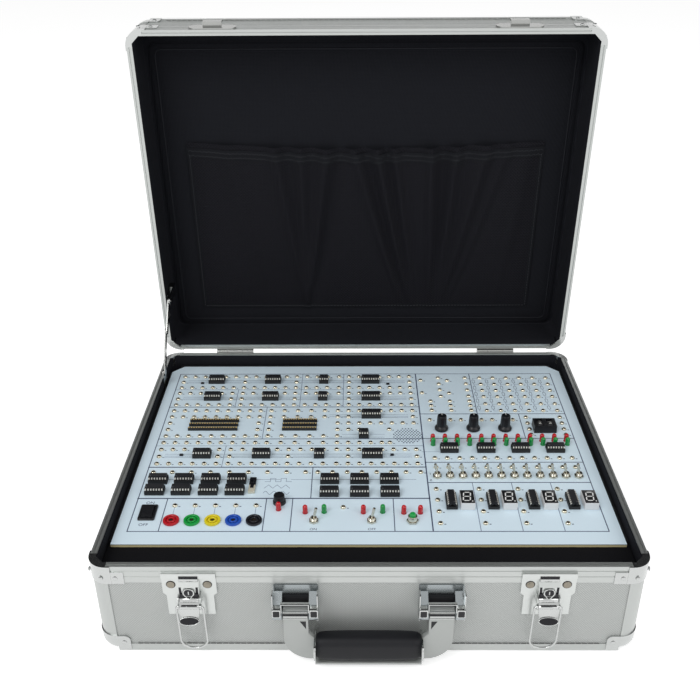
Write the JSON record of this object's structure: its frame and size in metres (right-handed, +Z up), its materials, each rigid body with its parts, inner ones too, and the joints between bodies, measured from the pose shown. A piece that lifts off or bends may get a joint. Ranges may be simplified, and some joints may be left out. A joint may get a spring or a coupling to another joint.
{
  "type": "digital logic trainer",
  "caption": "Carrying case with an aluminium frame that opens to a panel of terminals, chip sockets, lamps, displays and switches.",
  "frame": {"origin": "centre of the underside of the case's base, on the plane it rests on", "axes": "+X to the right as seen from the handle side, +Y towards the hinges, +Z up"},
  "size_m": [0.462, 0.4349, 0.4644],
  "materials": {
    "panel": "silver laminate with a fine raised diamond pattern, semi-gloss",
    "extrusion": "extruded, anodised, satin",
    "bright_metal": "plated, polished, light handling marks",
    "steel": "plated sheet and turned pieces, satin",
    "lining": "dark flocked lining over foam, matte",
    "mesh_fabric": "gathered knitted mesh, matte",
    "board_face": "pale blue lacquered board with printed lines, satin",
    "board_foam": "black closed-cell foam strip, matte, with sawn softwood battens out of sight",
    "supply_case": "folded sheet steel, dark grey",
    "black_plastic": "moulded, fine grain, matte",
    "red_lens": "tinted red, glossy, slightly see-through",
    "green_lens": "tinted green, glossy, slightly see-through",
    "display_plastic": "light grey moulding with a dark window",
    "socket_plastic": "moulded in a different colour for each socket, glossy",
    "green_plastic": "moulded, glossy",
    "speaker_frame": "pressed steel, black",
    "grip_plastic": "moulded, satin",
    "toggle_chrome": "plated brass, polished"
  },
  "bodies": {
    "base": {"base_panels": "panel", "base_rim": "extrusion", "base_edge_profiles": "extrusion", "base_corners": "bright_metal", "base_lining": "lining", "handle_brackets": "bright_metal", "latch_plates": "bright_metal", "base_hinge_hardware": "steel", "circuit_board": "board_face", "board_battens": "board_foam", "power_supply": "supply_case", "terminals": "steel", "chip_sockets": "black_plastic", "chips": "black_plastic", "leds_red": "red_lens", "leds_green": "green_lens", "digit_displays": "display_plastic", "banana_sockets": "socket_plastic", "switch_bodies": "steel", "bcd_housing": "black_plastic", "speaker": "speaker_frame", "fuse_holder": "black_plastic"},
    "lid": {"lid_panels": "panel", "lid_rim": "extrusion", "lid_edge_profiles": "extrusion", "lid_corners": "bright_metal", "lid_hinge_hardware": "steel", "lid_lining": "lining", "lid_pocket": "mesh_fabric", "lid_catches": "bright_metal"},
    "stay_lower": {"stay_lower_arm": "steel"},
    "stay_upper": {"stay_upper_arm": "steel"},
    "handle": {"handle_frame": "bright_metal", "handle_grip": "grip_plastic"},
    "lever_left": {"latch_lever_left": "bright_metal"},
    "bail_left": {"latch_bail_left": "bright_metal"},
    "lever_right": {"latch_lever_right": "bright_metal"},
    "bail_right": {"latch_bail_right": "bright_metal"},
    "rocker": {"power_rocker": "black_plastic"},
    "toggle_01": {"logic_toggle_01": "toggle_chrome"},
    "toggle_02": {"logic_toggle_02": "toggle_chrome"},
    "toggle_03": {"logic_toggle_03": "toggle_chrome"},
    "toggle_04": {"logic_toggle_04": "toggle_chrome"},
    "toggle_05": {"logic_toggle_05": "toggle_chrome"},
    "toggle_06": {"logic_toggle_06": "toggle_chrome"},
    "toggle_07": {"logic_toggle_07": "toggle_chrome"},
    "toggle_08": {"logic_toggle_08": "toggle_chrome"},
    "toggle_09": {"logic_toggle_09": "toggle_chrome"},
    "toggle_10": {"logic_toggle_10": "toggle_chrome"},
    "toggle_11": {"logic_toggle_11": "toggle_chrome"},
    "toggle_12": {"logic_toggle_12": "toggle_chrome"},
    "source_left": {"source_toggle_left": "toggle_chrome"},
    "source_right": {"source_toggle_right": "toggle_chrome"},
    "knob_body_1": {"knob_1": "black_plastic"},
    "knob_body_2": {"knob_2": "black_plastic"},
    "knob_body_3": {"knob_3": "black_plastic"},
    "button": {"pulse_button": "green_plastic"},
    "slider": {"slide_knob": "black_plastic"},
    "wheel_left": {"bcd_wheel_left": "display_plastic"},
    "wheel_right": {"bcd_wheel_right": "display_plastic"}
  },
  "joints": [
    {"name": "lid_hinge", "type": "hinge", "parent": "base", "child": "lid", "pos_m": [0, 0.1822, 0.097], "axis": [1, 0, 0], "range_deg": [0, 86.5]},
    {"name": "stay_lower_hinge", "type": "hinge", "parent": "base", "child": "stay_lower", "pos_m": [-0.2221, 0.126, 0.101], "axis": [1, 0, 0], "range_deg": [0, 116]},
    {"name": "stay_upper_hinge", "type": "hinge", "parent": "stay_lower", "child": "stay_upper", "pos_m": [-0.2206, 0.15117, 0.1395], "axis": [1, 0, 0], "range_deg": [-186, 0]},
    {"name": "latch_lever_hinge_left", "type": "hinge", "parent": "base", "child": "lever_left", "pos_m": [-0.147, -0.1845, 0.0665], "axis": [1, 0, 0], "range_deg": [-95, 0]},
    {"name": "latch_bail_hinge_left", "type": "hinge", "parent": "lever_left", "child": "bail_left", "pos_m": [-0.147, -0.1872, 0.061], "axis": [-1, 0, 0], "range_deg": [0, 170]},
    {"name": "latch_lever_hinge_right", "type": "hinge", "parent": "base", "child": "lever_right", "pos_m": [0.147, -0.1845, 0.0665], "axis": [1, 0, 0], "range_deg": [-95, 0]},
    {"name": "latch_bail_hinge_right", "type": "hinge", "parent": "lever_right", "child": "bail_right", "pos_m": [0.147, -0.1872, 0.061], "axis": [-1, 0, 0], "range_deg": [0, 170]},
    {"name": "handle_hinge", "type": "hinge", "parent": "base", "child": "handle", "pos_m": [0, -0.1885, 0.056], "axis": [-1, 0, 0], "range_deg": [0, 100]},
    {"name": "power_rocker_hinge", "type": "hinge", "parent": "base", "child": "rocker", "pos_m": [-0.1968, -0.0979, 0.085], "axis": [1, 0, 0], "range_deg": [-24, 0]},
    {"name": "logic_toggle_hinge_01", "type": "hinge", "parent": "base", "child": "toggle_01", "pos_m": [0.0665, -0.0445, 0.0897], "axis": [0, 1, 0], "range_deg": [0, 24]},
    {"name": "logic_toggle_hinge_02", "type": "hinge", "parent": "base", "child": "toggle_02", "pos_m": [0.07865, -0.0445, 0.0897], "axis": [0, 1, 0], "range_deg": [0, 24]},
    {"name": "logic_toggle_hinge_03", "type": "hinge", "parent": "base", "child": "toggle_03", "pos_m": [0.0908, -0.0445, 0.0897], "axis": [0, 1, 0], "range_deg": [0, 24]},
    {"name": "logic_toggle_hinge_04", "type": "hinge", "parent": "base", "child": "toggle_04", "pos_m": [0.10295, -0.0445, 0.0897], "axis": [0, 1, 0], "range_deg": [0, 24]},
    {"name": "logic_toggle_hinge_05", "type": "hinge", "parent": "base", "child": "toggle_05", "pos_m": [0.1151, -0.0445, 0.0897], "axis": [0, 1, 0], "range_deg": [0, 24]},
    {"name": "logic_toggle_hinge_06", "type": "hinge", "parent": "base", "child": "toggle_06", "pos_m": [0.12725, -0.0445, 0.0897], "axis": [0, 1, 0], "range_deg": [0, 24]},
    {"name": "logic_toggle_hinge_07", "type": "hinge", "parent": "base", "child": "toggle_07", "pos_m": [0.1394, -0.0445, 0.0897], "axis": [0, 1, 0], "range_deg": [0, 24]},
    {"name": "logic_toggle_hinge_08", "type": "hinge", "parent": "base", "child": "toggle_08", "pos_m": [0.15155, -0.0445, 0.0897], "axis": [0, 1, 0], "range_deg": [0, 24]},
    {"name": "logic_toggle_hinge_09", "type": "hinge", "parent": "base", "child": "toggle_09", "pos_m": [0.1637, -0.0445, 0.0897], "axis": [0, 1, 0], "range_deg": [0, 24]},
    {"name": "logic_toggle_hinge_10", "type": "hinge", "parent": "base", "child": "toggle_10", "pos_m": [0.17585, -0.0445, 0.0897], "axis": [0, 1, 0], "range_deg": [0, 24]},
    {"name": "logic_toggle_hinge_11", "type": "hinge", "parent": "base", "child": "toggle_11", "pos_m": [0.188, -0.0445, 0.0897], "axis": [0, 1, 0], "range_deg": [0, 24]},
    {"name": "logic_toggle_hinge_12", "type": "hinge", "parent": "base", "child": "toggle_12", "pos_m": [0.20015, -0.0445, 0.0897], "axis": [0, 1, 0], "range_deg": [0, 24]},
    {"name": "source_toggle_hinge_left", "type": "hinge", "parent": "base", "child": "source_left", "pos_m": [-0.0476, -0.1096, 0.0897], "axis": [0, 1, 0], "range_deg": [-24, 0]},
    {"name": "source_toggle_hinge_right", "type": "hinge", "parent": "base", "child": "source_right", "pos_m": [0.0035, -0.1096, 0.0897], "axis": [0, 1, 0], "range_deg": [-24, 0]},
    {"name": "knob_turn_1", "type": "hinge", "parent": "base", "child": "knob_body_1", "pos_m": [0.0772, 0.036, 0.091], "axis": [0, 0, 1], "range_deg": [-150, 150]},
    {"name": "knob_turn_2", "type": "hinge", "parent": "base", "child": "knob_body_2", "pos_m": [0.1097, 0.036, 0.091], "axis": [0, 0, 1], "range_deg": [-150, 150]},
    {"name": "knob_turn_3", "type": "hinge", "parent": "base", "child": "knob_body_3", "pos_m": [0.1421, 0.036, 0.091], "axis": [0, 0, 1], "range_deg": [-150, 150]},
    {"name": "pulse_button_press", "type": "slide", "parent": "base", "child": "button", "axis": [0, 0, 1], "range_m": [-0.0015, 0], "stiffness_N_per_m": 700, "springref_m": 0.001},
    {"name": "slide_switch_travel", "type": "slide", "parent": "base", "child": "slider", "axis": [0, 1, 0], "range_m": [-0.0046, 0]},
    {"name": "bcd_wheel_turn_left", "type": "hinge", "parent": "base", "child": "wheel_left", "pos_m": [0.17705, 0.0362, 0.0884], "axis": [1, 0, 0], "continuous": true},
    {"name": "bcd_wheel_turn_right", "type": "hinge", "parent": "base", "child": "wheel_right", "pos_m": [0.18745, 0.0362, 0.0884], "axis": [1, 0, 0], "continuous": true}
  ],
  "couplings": [
    {"joint": "stay_lower_hinge", "follows": "lid_hinge", "ratio": 1.3309},
    {"joint": "stay_upper_hinge", "follows": "lid_hinge", "ratio": -2.1406}
  ]
}
